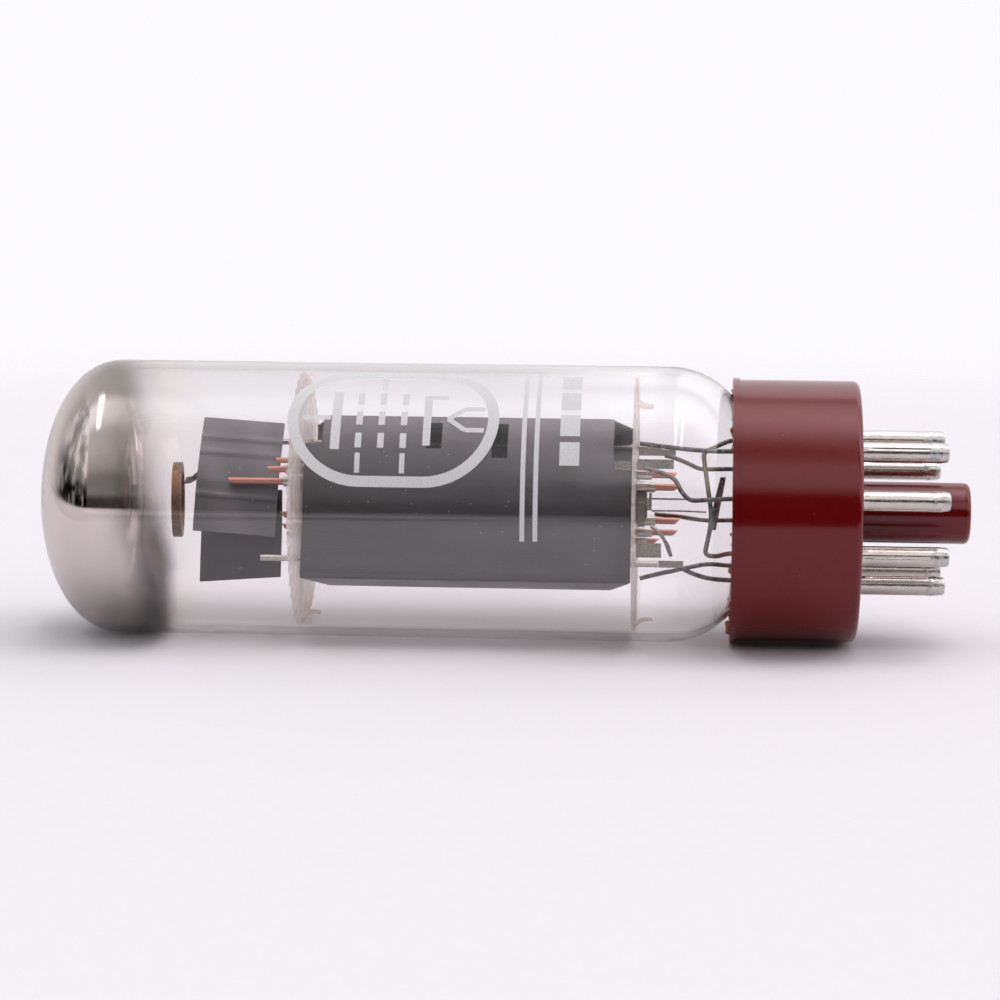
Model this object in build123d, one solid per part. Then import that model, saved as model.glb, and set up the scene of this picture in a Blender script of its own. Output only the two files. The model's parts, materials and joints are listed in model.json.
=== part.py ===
"""Octal-base power pentode: a glass vacuum tube lying on its side, in millimetres.

The tube's axis is X and the contact pins point along +X. The origin is on the base's axis, in its
seating face, which is the face that the pins leave. +Z is up, and -Y is the side called "near".
Radial places are given by an angle from +Z, growing towards +Y (the "far" side).
"""
from build123d import *
import math
import os

# ---------------------------------------------------------------- driving dimensions
# Glass envelope
SEATED_HEIGHT = 97.8          # seating face to the tip of the dome
BULB_RADIUS = 16.5
BULB_WALL = 1.0
DOME_CAP_RADIUS = 30.0        # the flat middle of the dome
DOME_CORNER_RADIUS = 8.5      # the round edge between the cap and the cylinder
SHOULDER_START = -22.5        # where the cylinder starts to turn in towards the base
SHOULDER_RADIUS = 10.0
NECK_RADIUS = 11.5            # outside radius of the seal, hidden in the base
NECK_END = -11.2
BULB_LIFT = 0.55              # the bulb is cemented this much above the base's axis

# Stem
STEM_RADIUS = 10.48
STEM_INNER_FACE = -13.6
STEM_OUTER_FACE = -11.2
EXHAUST_TIP_LENGTH = 9.0
EXHAUST_TIP_RADIUS = 2.2
EXHAUST_BORE = 1.2
EXHAUST_BORE_LENGTH = 5.5
LEAD_CIRCLE_RADIUS = 8.5       # round the base's axis, so that each lead runs straight into its pin
LEAD_RADIUS = 0.27
BEAD_LENGTH = 0.8

# Base
BASE_RADIUS = 15.6
BASE_HEIGHT = 15.0
BASE_WALL = 1.5
BASE_FLOOR = 2.2
BASE_EDGE_ROUND = 0.8
BASE_LIP_RADIUS = 15.8
BASE_LIP_WIDTH = 0.8
SPIGOT_RADIUS = 3.65
SPIGOT_WALL = 1.2
SPIGOT_LENGTH = 13.3
SPIGOT_END_ROUND = 0.7
KEY_ANGLE = 84.3
KEY_WIDTH = 2.0
KEY_HEIGHT = 1.1
KEY_LENGTH = 12.0

# Pins
PIN_COUNT = 8
PIN_CIRCLE_RADIUS = 8.725
PIN_RADIUS = 1.19
PIN_BORE = 0.9
PIN_BORE_END = 4.4            # where the bore that takes the lead stops
PIN_LENGTH = 10.2             # out of the seating face
PIN_SHOULDER_RADIUS = 1.4     # the part that is moulded into the base's floor
PIN_ROOT = -2.8               # inner end, flared over the base's floor
PIN_FLARE_RADIUS = 1.6
PIN_FLARE_LENGTH = 0.5
SOLDER_START = 8.7            # bottom of the cup in the pin's outer end that holds the solder

# Electrode assembly
ELECTRODE_ROLL = -8.0         # the assembly's turn about the tube's axis
MICA_THICKNESS = 0.4
MICA_RADIUS = 14.3
MICA_TOOTH_RADIUS = 15.25
MICA_TEETH = 48
TOP_MICA = -66.5              # outer (dome side) face of the top mica
BOTTOM_MICA = -26.6           # anode side face of the bottom mica
ANODE_START = -65.75
ANODE_END = -26.75
SHEET = 0.25
GRID_TILT = 47.0              # the grid rods' plane, above the near horizontal
G1_ROD_OFFSET, G1_ROD_RADIUS = 2.75, 0.42
G2_ROD_OFFSET, G2_ROD_RADIUS = 4.7, 0.38
G3_ROD_OFFSET, G3_ROD_RADIUS = 6.15, 0.34
GRID_WIRE_RADIUS = 0.07
GRID_MARGIN = 1.6              # from the anode's ends to the first and last turns
FIT_GAP = 0.04                # clearance of a rod or wire in its hole


# ---------------------------------------------------------------- helpers
def polar(radius, angle):
    """(y, z) of a point at a radius and an angle from +Z towards +Y."""
    turn = math.radians(angle)
    return radius * math.sin(turn), radius * math.cos(turn)


def rod(start, end, radius, y=0.0, z=0.0):
    """A round bar along X."""
    length = end - start
    return Pos(start + length / 2, y, z) * Rot(0, 90, 0) * Cylinder(radius, length)


def pipe(start, end, radius, bore, y=0.0, z=0.0):
    return rod(start, end, radius, y, z) - rod(start - 1, end + 1, bore, y, z)


def spun(curves):
    """A solid of revolution about X, from a closed chain of curves drawn in the XZ plane."""
    face = make_face([curve.edge() for curve in curves])
    return revolve(face, axis=Axis.X, revolution_arc=360)


def xz(x, z):
    return (x, 0, z)


def block(x0, x1, y0, y1, z0, z1):
    return Pos((x0 + x1) / 2, (y0 + y1) / 2, (z0 + z1) / 2) * Box(x1 - x0, y1 - y0, z1 - z0)


def bend_radii(points):
    """As large an arc at each corner as its two runs allow."""
    radii = []
    for before, corner, after in zip(points, points[1:], points[2:]):
        first = Vector(*corner) - Vector(*before)
        second = Vector(*after) - Vector(*corner)
        turn = math.radians(first.get_angle(second))
        radii.append(0.45 * min(first.length, second.length) / math.tan(turn / 2))
    return radii


def bent_wire(points, radius):
    path = FilletPolyline(*points, radius=bend_radii(points))
    section = Plane(origin=path @ 0, z_dir=path % 0) * Circle(radius)
    return sweep(section, path=path)


def yz(place):
    """A point of the YZ plane from (near, up)."""
    toward, up = place
    return (0, -toward, up)


def sheet_section(curves):
    """Cut through a bent sheet whose middle follows lines and arcs of the YZ plane."""
    middle = Wire([curve.edge() for curve in curves])
    outline = offset(middle, amount=SHEET / 2, side=Side.BOTH, kind=Kind.INTERSECTION)
    return make_face(outline.edges())


def drawn_out(section, start, end):
    return Pos(start, 0, 0) * extrude(section, amount=end - start, dir=(1, 0, 0))


def group(pieces):
    """Several solids in one node, each already in its place."""
    return Compound([solid for piece in pieces for solid in piece.solids()])


def in_bulb(shape):
    """Puts a piece of the glass envelope where the cement holds it."""
    return Pos(0, 0, BULB_LIFT) * shape


def electrode(shape):
    """Puts a piece of the electrode assembly at its roll, inside the bulb."""
    return Pos(0, 0, BULB_LIFT) * Rot(ELECTRODE_ROLL, 0, 0) * shape


# ---------------------------------------------------------------- glass
def dome_corner_centre():
    """How far the corner arc's centre is behind the dome's tip."""
    reach = DOME_CAP_RADIUS - DOME_CORNER_RADIUS
    height = BULB_RADIUS - DOME_CORNER_RADIUS
    return DOME_CAP_RADIUS - math.sqrt(reach**2 - height**2)


def dome_curves(inset):
    """Cap arc and corner arc of the dome, moved in from the outside by a distance."""
    tip = -SEATED_HEIGHT
    back = dome_corner_centre()
    axis_height = BULB_RADIUS - DOME_CORNER_RADIUS
    lean = math.atan2(axis_height, DOME_CAP_RADIUS - back)
    cap = DOME_CAP_RADIUS - inset
    corner = DOME_CORNER_RADIUS - inset
    cap_centre = tip + DOME_CAP_RADIUS
    start = xz(tip + inset, 0)
    cap_mid = xz(cap_centre - cap * math.cos(lean / 2), cap * math.sin(lean / 2))
    joint = xz(cap_centre - cap * math.cos(lean), cap * math.sin(lean))
    half = (lean + math.pi / 2) / 2
    corner_mid = xz(tip + back - corner * math.cos(half), axis_height + corner * math.sin(half))
    end = xz(tip + back, axis_height + corner)
    return [ThreePointArc(start, cap_mid, joint), ThreePointArc(joint, corner_mid, end)], start, end


def shoulder_angle(inset, neck):
    """How far the shoulder arc turns before it reaches the neck's radius."""
    rise = neck - (BULB_RADIUS - SHOULDER_RADIUS)
    return math.acos(rise / (SHOULDER_RADIUS - inset))


def shoulder_point(inset, turn):
    radius = SHOULDER_RADIUS - inset
    centre = BULB_RADIUS - SHOULDER_RADIUS
    return xz(SHOULDER_START + radius * math.sin(turn), centre + radius * math.cos(turn))


def bulb_side(inset, neck):
    """The whole inner or outer outline, from the dome's tip to the open neck."""
    dome, start, dome_end = dome_curves(inset)
    shoulder_start = xz(SHOULDER_START, BULB_RADIUS - inset)
    turn = shoulder_angle(inset, neck)
    shoulder_end = shoulder_point(inset, turn)
    curves = dome + [
        Line(dome_end, shoulder_start),
        ThreePointArc(shoulder_start, shoulder_point(inset, turn / 2), shoulder_end),
        Line(shoulder_end, xz(NECK_END, neck)),
    ]
    return curves, start


def glass_bulb():
    outer, outer_tip = bulb_side(0, NECK_RADIUS)
    inner, inner_tip = bulb_side(BULB_WALL, NECK_RADIUS - BULB_WALL)
    rim = Line(xz(NECK_END, NECK_RADIUS), xz(NECK_END, NECK_RADIUS - BULB_WALL))
    axis = Line(outer_tip, inner_tip)
    return in_bulb(spun(outer + inner + [rim, axis]))


def glass_filled():
    """The bulb's outer form with no hollow, for cutting the cement to it."""
    outer, tip = bulb_side(-0.02, NECK_RADIUS + 0.02)
    rim = Line(xz(NECK_END, NECK_RADIUS + 0.02), xz(NECK_END, 0))
    axis = Line(xz(NECK_END, 0), tip)
    return in_bulb(spun(outer + [rim, axis]))


def glass_stem():
    """Button stem with a bead round each lead and the sealed-off exhaust tip."""
    tip_end = STEM_OUTER_FACE + EXHAUST_TIP_LENGTH
    stem = rod(STEM_INNER_FACE, STEM_OUTER_FACE, STEM_RADIUS)
    stem += rod(STEM_OUTER_FACE, tip_end - EXHAUST_TIP_RADIUS, EXHAUST_TIP_RADIUS)
    stem += Pos(tip_end - EXHAUST_TIP_RADIUS, 0, 0) * Sphere(EXHAUST_TIP_RADIUS)
    stem -= rod(STEM_INNER_FACE - 1, STEM_OUTER_FACE + EXHAUST_BORE_LENGTH, EXHAUST_BORE)
    stem = in_bulb(stem)
    for number in range(1, PIN_COUNT + 1):
        y, z = polar(LEAD_CIRCLE_RADIUS, pin_angle(number))
        bead = Rot(0, 90, 0) * Cone(0.55, 1.15, BEAD_LENGTH)
        stem += Pos(STEM_INNER_FACE - BEAD_LENGTH / 2, y, z) * bead
        stem -= rod(STEM_INNER_FACE - 2, STEM_OUTER_FACE + 1, LEAD_RADIUS + 0.01, y, z)
    return stem


def getter_flash():
    """The silvery film inside the dome."""
    film_gap, film = 0.01, 0.06
    film_end = xz(FLASH_END, BULB_RADIUS - BULB_WALL - film_gap)
    outer, outer_tip, outer_end = dome_curves(BULB_WALL + film_gap)
    inner, inner_tip, inner_end = dome_curves(BULB_WALL + film_gap + film)
    inner_film_end = xz(FLASH_END, BULB_RADIUS - BULB_WALL - film_gap - film)
    lines = [
        Line(outer_tip, inner_tip),
        Line(outer_end, film_end),
        Line(film_end, inner_film_end),
        Line(inner_film_end, inner_end),
    ]
    return in_bulb(spun(outer + inner + lines))


# ---------------------------------------------------------------- base and pins
def pin_angle(number):
    """Pin 1 is the first one clockwise of the key, seen from the pins' end."""
    step = 360 / PIN_COUNT
    return KEY_ANGLE + step / 2 + step * (number - 1)


def base_shell():
    """Moulded base: cup, floor, hollow locating spigot and its key."""
    cup = rod(-BASE_HEIGHT, 0, BASE_RADIUS)
    cup = fillet(cup.edges().group_by(Axis.X)[-1], BASE_EDGE_ROUND)
    cup += rod(-BASE_HEIGHT, -BASE_HEIGHT + BASE_LIP_WIDTH, BASE_LIP_RADIUS)
    cup -= rod(-BASE_HEIGHT - 1, -BASE_FLOOR, BASE_RADIUS - BASE_WALL)
    spigot = rod(-BASE_FLOOR, SPIGOT_LENGTH, SPIGOT_RADIUS)
    spigot = fillet(spigot.edges().group_by(Axis.X)[-1], SPIGOT_END_ROUND)
    cup += spigot
    key = block(0, KEY_LENGTH, -KEY_WIDTH / 2, KEY_WIDTH / 2, 0, SPIGOT_RADIUS + KEY_HEIGHT)
    cup += Rot(-KEY_ANGLE, 0, 0) * key
    cup -= rod(-BASE_FLOOR - 1, SPIGOT_LENGTH - 2 * SPIGOT_WALL, SPIGOT_RADIUS - SPIGOT_WALL)
    for number in range(1, PIN_COUNT + 1):
        y, z = polar(PIN_CIRCLE_RADIUS, pin_angle(number))
        cup -= rod(-BASE_FLOOR - 1, 1, PIN_SHOULDER_RADIUS + 0.01, y, z)
    return cup


def base_cement():
    """Ring of cement between the base's mouth and the glass shoulder."""
    ring = rod(-BASE_HEIGHT + 0.25, -11.0, BASE_RADIUS - BASE_WALL - 0.02)
    return ring - glass_filled() - rod(-12, -10, 12.3)


def contact_pin(number):
    """Plated pin: flared and bored at the inner end, rounded and cupped for solder at the outer."""
    y, z = polar(PIN_CIRCLE_RADIUS, pin_angle(number))
    pin = rod(0, PIN_LENGTH, PIN_RADIUS)
    pin = fillet(pin.edges().group_by(Axis.X)[-1], PIN_RADIUS - PIN_BORE - 0.05)
    pin += rod(PIN_ROOT, 0, PIN_SHOULDER_RADIUS)
    pin += rod(PIN_ROOT, PIN_ROOT + PIN_FLARE_LENGTH, PIN_FLARE_RADIUS)
    pin -= rod(PIN_ROOT - 1, PIN_BORE_END, PIN_BORE)
    pin -= rod(SOLDER_START, PIN_LENGTH + 1, PIN_BORE)
    return Pos(0, y, z) * pin


def solder_tips():
    """Solder that fills the cup of each pin and stands a little proud of its end."""
    tips = []
    for number in range(1, PIN_COUNT + 1):
        y, z = polar(PIN_CIRCLE_RADIUS, pin_angle(number))
        plug = rod(SOLDER_START, PIN_LENGTH + 0.3, PIN_BORE - 0.01)
        plug = fillet(plug.edges().group_by(Axis.X)[-1], 0.4)
        tips.append(Pos(0, y, z) * plug)
    return group(tips)


# ---------------------------------------------------------------- leads
LEAD_END = PIN_BORE_END - 0.1
LEAD_CORNER = STEM_INNER_FACE - 1.9     # where a lead may start to bend, clear of its bead

# Routes inside the bulb, from the stem to the end welded to the electrodes, as (x, near, up).
LEAD_ROUTES = {
    1: [(-18.6, -7.9, -1.95), (-21.5, -6.6, -1.5), (-24.2, -5.4, -1.25)],
    2: [(-18.0, -4.6, -7.15), (-22.3, -3.9, -8.1), (-25.8, -3.5, -9.1)],
    3: [(-17.9, 1.9, -8.75), (-19.7, 2.7, -8.2), (-22.4, 3.4, -6.9)],
    5: [(-18.4, 8.0, 0.55), (-20.1, 7.6, 0.45), (-21.1, 7.1, 1.4), (-21.9, 6.6, 3.0),
        (-23.4, 6.2, 3.75), (-25.3, 6.0, 4.2)],
    6: [(-17.2, 5.1, 6.3), (-20.8, 4.6, 6.5), (-25.9, 3.9, 7.15)],
    8: [(-19.2, -6.5, 4.35), (-20.9, -6.0, 5.2), (-23.2, -5.3, 6.0)],
}
JUMPER_ROUTE = [
    (-17.4, -1.2, 6.95),
    (-18.75, -0.9, 6.3),
    (-18.2, 0.9, 2.6),
    (-17.5, 3.0, -1.6),
    (-18.35, 4.4, -5.9),
    (-17.0, 4.9, -6.05),
]
HEATER_LEAD_RADIUS = 0.12
HEATER_LEAD_ROUTES = (
    [(-24.5, 1.0, 0.65), (-21.5, 1.5, 0.62), (-18.9, 1.9, 0.7)],
    [(-24.5, -0.9, -0.8), (-21.5, -0.6, -0.75), (-18.3, 0.3, -0.85)],
)
BRIDGE_ROUTE = [(-24.5, 3.9, -2.6), (-23.65, 4.0, -3.2), (-22.85, 4.0, -4.4), (-22.3, 3.9, -6.15)]
BRIDGE_RADIUS = 0.2


def lead_tail(number):
    """Start of a lead: in its pin, and out through the stem, as two points of its route."""
    y, z = polar(LEAD_CIRCLE_RADIUS, pin_angle(number))
    return [(LEAD_END, y, z), (LEAD_CORNER, y, z)]


def assembly_point(x, toward, up):
    """A point given in the assembly's own axes, as it lies in the tube."""
    roll = math.radians(ELECTRODE_ROLL)
    y = -toward * math.cos(roll) - up * math.sin(roll)
    z = -toward * math.sin(roll) + up * math.cos(roll)
    return (x, y, z + BULB_LIFT)


def lead_wire(number):
    inside = [assembly_point(*point) for point in LEAD_ROUTES[number]]
    return bent_wire(lead_tail(number) + inside, LEAD_RADIUS)


def jumper_wire():
    """Bent wire in the neck, from one stem lead down to another."""
    inside = [assembly_point(*point) for point in JUMPER_ROUTE]
    return bent_wire(lead_tail(7) + inside + lead_tail(4)[::-1], LEAD_RADIUS)


def jumper_ribbon():
    """Flat ribbon welded across the jumper wire, its top leaning to the base."""
    length, width, thickness, lean = 6.4, 0.75, 0.22, 11
    strip = Rot(0, lean, 0) * Box(width, thickness, length)
    return electrode(Pos(-16.9, -4.05, 0.25) * strip)


def heater_leads():
    """Two fine wires from the heater's ends towards the stem."""
    wires = []
    for route in HEATER_LEAD_ROUTES:
        wires.append(bent_wire([assembly_point(*point) for point in route], HEATER_LEAD_RADIUS))
    return group(wires)


def bridge_wire():
    """Short bent wire from the cathode's collar to the anode's ribbon."""
    return bent_wire([assembly_point(*point) for point in BRIDGE_ROUTE], BRIDGE_RADIUS)


# ---------------------------------------------------------------- micas
def rod_places(offset):
    """(near, up) of a grid's two rods."""
    tilt = math.radians(GRID_TILT)
    return [(side * offset * math.cos(tilt), side * offset * math.sin(tilt)) for side in (1, -1)]


def mica_disc(start):
    """Disc with small teeth round its rim that grip the glass."""
    rim = []
    for tooth in range(MICA_TEETH):
        for part, radius in ((0.0, MICA_RADIUS), (0.5, MICA_TOOTH_RADIUS)):
            y, z = polar(radius, (tooth + part) * 360 / MICA_TEETH)
            rim.append((0, y, z))
    outline = make_face(Polyline(*rim, close=True).edges())
    disc = drawn_out(outline, start, start + MICA_THICKNESS)
    holes = []
    for offset, radius in GRID_RODS:
        for toward, up in rod_places(offset):
            holes.append(rod(start - 1, start + 2, radius + FIT_GAP, -toward, up))
    holes.append(cathode_form(start - 1, start + 2, CATHODE_OUTER + FIT_GAP))
    for toward, up in ANODE_POSTS:
        holes.append(rod(start - 1, start + 2, POST_RADIUS + FIT_GAP, -toward, up))
    return disc - holes


def rod_sleeves():
    """Small sleeves on the grid rods, crimped against the outer faces of the micas."""
    wall = 0.2
    bottom = BOTTOM_MICA + MICA_THICKNESS
    sleeves = []
    for (offset, radius), length in zip(GRID_RODS, SLEEVE_LENGTHS):
        for toward, up in rod_places(offset):
            outer, bore = radius + wall, radius + 0.01
            sleeves.append(pipe(TOP_MICA - length, TOP_MICA - 0.01, outer, bore, -toward, up))
            sleeves.append(pipe(bottom + 0.01, bottom + length, outer, bore, -toward, up))
    return group([electrode(sleeve) for sleeve in sleeves])


# ---------------------------------------------------------------- cathode, heater and grids
GRID_RODS = (
    (G1_ROD_OFFSET, G1_ROD_RADIUS),
    (G2_ROD_OFFSET, G2_ROD_RADIUS),
    (G3_ROD_OFFSET, G3_ROD_RADIUS),
)
SLEEVE_LENGTHS = (2.1, 1.7, 1.2)
CATHODE_OUTER = 0.85
CATHODE_WALL = 0.12
CATHODE_HALF_LENGTH = 1.0     # half of the flat part of the oval, along the grids' plane
CATHODE_START, CATHODE_END = -68.0, -25.0
HEATER_RADIUS, HEATER_SPACING = 0.2, 0.52
ANODE_POSTS = ((6.75, -7.0), (-6.75, 7.0))
POST_RADIUS = 0.36


def oval(half_flat, radius):
    """Slot outline in the YZ plane whose long side lies in the grids' plane."""
    return Plane.YZ * Rot(0, 0, 180 - GRID_TILT) * SlotCenterToCenter(2 * half_flat, 2 * radius)


def cathode_form(start, end, radius):
    return drawn_out(oval(CATHODE_HALF_LENGTH, radius), start, end)


def cathode_sleeve():
    hollow = cathode_form(CATHODE_START - 1, CATHODE_END + 1, CATHODE_OUTER - CATHODE_WALL)
    return electrode(cathode_form(CATHODE_START, CATHODE_END, CATHODE_OUTER) - hollow)


def heater():
    """Folded heater: four coated legs, joined in pairs at the top."""
    tilt = math.radians(GRID_TILT)
    top, bottom, bend = CATHODE_START + 0.6, CATHODE_END + 0.5, 0.4
    legs = []
    for side in (-1, 1):
        inner, outer = side * 0.5 * HEATER_SPACING, side * 1.5 * HEATER_SPACING
        route = [(bottom, inner), (top + bend, inner), (top, (inner + outer) / 2),
                 (top + bend, outer), (bottom, outer)]
        points = [assembly_point(x, s * math.cos(tilt), s * math.sin(tilt)) for x, s in route]
        legs.append(bent_wire(points, HEATER_RADIUS))
    return group(legs)


def grid_rods(offset, radius, starts, end):
    """A grid's two side rods; the near one and the far one start at different places."""
    rods = []
    for (toward, up), start in zip(rod_places(offset), starts):
        rods.append(electrode(rod(start, end, radius, -toward, up)))
    return group(rods)


def grid_winding(offset, rod_radius, half_depth, pitch):
    """Turns of fine wire round the two side rods, as closed oval loops."""
    clearance = 0.03
    half_flat = offset - half_depth + rod_radius + GRID_WIRE_RADIUS + clearance
    outer = oval(half_flat, half_depth + GRID_WIRE_RADIUS)
    inner = oval(half_flat, half_depth - GRID_WIRE_RADIUS)
    ring = extrude(outer - inner, amount=2 * GRID_WIRE_RADIUS, dir=(1, 0, 0))
    first, last = ANODE_START + GRID_MARGIN, ANODE_END - GRID_MARGIN
    count = int((last - first) / pitch) + 1
    return group([electrode(Pos(first + index * pitch, 0, 0) * ring) for index in range(count)])


# ---------------------------------------------------------------- anode
POST_START, POST_END = -70.6, -23.6
# Half-shell outline on the middle of the sheet, as (near, up).
FLANGE_TIP = (-0.6, -10.35)
FOLD = (7.8, -9.1)
CREASE = (6.3, -2.5)
BARREL_TOP = (1.6, 9.9)
BARREL_BULGE = (5.22, 4.2)
WINDOWS = ((-51.3, -49.5, 6.1), (-43.5, -41.6, 5.1))      # start, end, lower edge
NOTCHES = ((ANODE_START - 1, -63.8, 6.5), (-29.0, ANODE_END + 1, 5.0))
WINDOW_TOP = 9.2
FLANGE_CHAMFER = 1.5


def anode_half():
    """Near half: curved front, flat wing below it, and a flange folded back under the box."""
    section = sheet_section([
        Line(yz(FLANGE_TIP), yz(FOLD)),
        Line(yz(FOLD), yz(CREASE)),
        ThreePointArc(yz(CREASE), yz(BARREL_BULGE), yz(BARREL_TOP)),
    ])
    half = drawn_out(section, ANODE_START, ANODE_END)
    for start, end, low in WINDOWS:
        half -= block(start, end, -9, 0.5, low, WINDOW_TOP)
    for start, end, low in NOTCHES:
        half -= block(start, end, -9, 0.5, low, 12)
    tip, _ = FLANGE_TIP
    for end in (ANODE_START, ANODE_END):
        side = FLANGE_CHAMFER * math.sqrt(2)
        half -= Pos(end, -tip, -10) * Rot(0, 0, 45) * Box(side, side, 1.5)
    return half


def anode_near_half():
    return electrode(anode_half())


def anode_far_half():
    return electrode(Rot(180, 0, 0) * anode_half())


def anode_posts():
    """Stiff nickel rods welded to the anode's wings, which carry it between the micas."""
    posts = []
    for toward, up in ANODE_POSTS:
        posts.append(electrode(rod(POST_START, POST_END, POST_RADIUS, -toward, up)))
    return group(posts)


def anode_weld_tab():
    """Bright nickel tab between the anode's near half and the bottom mica."""
    return electrode(block(-28.9, -26.9, -5.68, -5.43, 3.9, 4.9))


# ---------------------------------------------------------------- top fittings
RING_CENTRE = (-0.9, -0.35)   # near, up
RING_RADIUS = 4.55
RING_START, RING_END = -82.4, -81.3
FLASH_END = -84.0
FIN_START, FIN_END = -79.3, -69.4
STRAP_DEPTH = 4.3


def getter_ring():
    """Channel-section ring, open towards the dome, that held the getter."""
    wall, depth = 0.18, 1.05
    toward, up = RING_CENTRE
    body = pipe(RING_START, RING_END, RING_RADIUS, RING_RADIUS - depth)
    body -= pipe(RING_START - 1, RING_END - wall, RING_RADIUS - wall, RING_RADIUS - depth + wall)
    return electrode(Pos(0, -toward, up) * body)


def getter_strap():
    """Flat strap from the ring back to the top mica, behind the fins."""
    width, thickness = 0.7, 0.2
    route = Polyline(
        (RING_END + 0.11, 0, 1.6),
        (-80.7, 0, 1.6),
        (-78.6, 0, 3.3),
        (-68.0, 0, 4.7),
        (TOP_MICA - 0.02, 0, 4.7),
    )
    outline = offset(route, amount=thickness / 2, side=Side.BOTH, kind=Kind.INTERSECTION)
    strap = extrude(make_face(outline.edges()), amount=width / 2, dir=(0, 1, 0), both=True)
    return electrode(Pos(0, STRAP_DEPTH, 0) * strap)


def cooling_fin_near():
    """Blackened sheet, bowed towards the near side, welded behind a control grid rod."""
    section = sheet_section([
        ThreePointArc(yz((-4.0, 9.8)), yz((-1.1, 5.6)), yz((1.1, 2.0))),
        Line(yz((1.1, 2.0)), yz((3.5, -4.0))),
    ])
    return electrode(drawn_out(section, FIN_START, FIN_END))


def cooling_fin_far():
    """The other fin, behind the first and lower."""
    section = sheet_section([
        Line(yz((-2.7, 1.0)), yz((-3.0, -4.0))),
        Line(yz((-3.0, -4.0)), yz((-2.4, -10.4))),
    ])
    return electrode(drawn_out(section, FIN_START, FIN_END))


# ---------------------------------------------------------------- bottom fittings
UNDER_MICA = BOTTOM_MICA + MICA_THICKNESS + 0.02


def cathode_collar():
    """Nickel collar round the cathode's end under the bottom mica."""
    along, across, thick = 4.0, 3.8, 0.9
    collar = Pos(UNDER_MICA + thick / 2, 0, 0) * Rot(-GRID_TILT, 0, 0) * Box(thick, along, across)
    return electrode(collar - cathode_form(UNDER_MICA - 1, UNDER_MICA + 2, CATHODE_OUTER + FIT_GAP))


def grid_strap():
    """Thin strap that joins the near rods' sleeves to the collar."""
    return electrode(block(-24.75, -24.45, -3.3, -3.0, -0.4, 1.35))


def connector_ribbons():
    """Flat nickel ribbons that join the rods and posts to the lead wires."""
    ribbons = [
        block(UNDER_MICA, -22.2, 5.75, 5.97, 5.95, 6.75),
        block(UNDER_MICA, -22.1, -5.6, -5.38, 4.15, 5.25),
        block(POST_END + 0.05, -20.8, -6.2, -6.0, -7.4, -6.6),
        block(UNDER_MICA, -23.3, -4.9, -4.65, -6.3, -4.6),
    ]
    return group([electrode(ribbon) for ribbon in ribbons])


PLAIN_NODES = (
    glass_bulb,
    glass_stem,
    getter_flash,
    base_shell,
    base_cement,
    solder_tips,
    jumper_wire,
    jumper_ribbon,
    heater_leads,
    bridge_wire,
    rod_sleeves,
    cathode_sleeve,
    heater,
    anode_near_half,
    anode_far_half,
    anode_posts,
    anode_weld_tab,
    getter_ring,
    getter_strap,
    cooling_fin_near,
    cooling_fin_far,
    cathode_collar,
    grid_strap,
    connector_ribbons,
)

# Name, rod offset, rod radius, start of the near and far rods, end, half depth, pitch of the turns
GRIDS = (
    ("control_grid", G1_ROD_OFFSET, G1_ROD_RADIUS, (-75.1, -69.2), -21.7, 1.25, 1.0),
    ("screen_grid", G2_ROD_OFFSET, G2_ROD_RADIUS, (-70.2, -69.2), -22.0, 1.9, 1.0),
    ("suppressor_grid", G3_ROD_OFFSET, G3_ROD_RADIUS, (-69.1, -68.9), -24.0, 2.6, 2.5),
)


def write(name, shape):
    export_step(shape, f"parts/{name}.step")


def main():
    os.makedirs("parts", exist_ok=True)
    for make in PLAIN_NODES:
        write(make.__name__, make())
    write("top_mica", electrode(mica_disc(TOP_MICA)))
    write("bottom_mica", electrode(mica_disc(BOTTOM_MICA)))
    for name, place, radius, starts, end, half_depth, pitch in GRIDS:
        write(f"{name}_rods", grid_rods(place, radius, starts, end))
        write(f"{name}_winding", grid_winding(place, radius, half_depth, pitch))
    for number in range(1, PIN_COUNT + 1):
        write(f"pin_{number}", contact_pin(number))
    for number in LEAD_ROUTES:
        write(f"lead_wire_{number}", lead_wire(number))


main()
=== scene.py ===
"""Looks of an octal-base power pentode lying on its side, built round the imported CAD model.

Lengths below are in millimetres, in the CAD frame: X along the tube with the pins towards +X, +Z up
and -Y towards the viewer ("near"). Meshes are scaled to metres as they are made.
"""
import json
import math
import random

import bmesh
import bpy
from mathutils import Matrix, Quaternion, Vector, noise


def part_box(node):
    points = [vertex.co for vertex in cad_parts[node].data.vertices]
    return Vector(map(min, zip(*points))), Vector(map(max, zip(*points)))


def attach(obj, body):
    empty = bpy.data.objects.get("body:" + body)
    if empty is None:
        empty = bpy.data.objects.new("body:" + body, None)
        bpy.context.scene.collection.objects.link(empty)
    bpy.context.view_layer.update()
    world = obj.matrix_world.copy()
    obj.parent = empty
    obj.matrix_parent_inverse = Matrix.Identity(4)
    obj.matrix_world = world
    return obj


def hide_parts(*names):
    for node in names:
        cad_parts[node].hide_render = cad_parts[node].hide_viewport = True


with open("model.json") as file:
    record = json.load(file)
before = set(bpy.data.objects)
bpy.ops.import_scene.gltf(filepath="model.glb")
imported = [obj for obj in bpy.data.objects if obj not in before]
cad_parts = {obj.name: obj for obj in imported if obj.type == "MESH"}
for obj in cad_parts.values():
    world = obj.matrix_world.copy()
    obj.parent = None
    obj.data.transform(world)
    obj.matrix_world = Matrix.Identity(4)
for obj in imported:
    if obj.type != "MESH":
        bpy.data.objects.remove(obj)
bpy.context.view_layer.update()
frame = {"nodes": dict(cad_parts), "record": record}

MM = 0.001
NODES = frame["nodes"]


def node_box(name):
    """Lowest and highest corner of a CAD node, in millimetres."""
    low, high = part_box(name)
    return low / MM, high / MM


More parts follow.
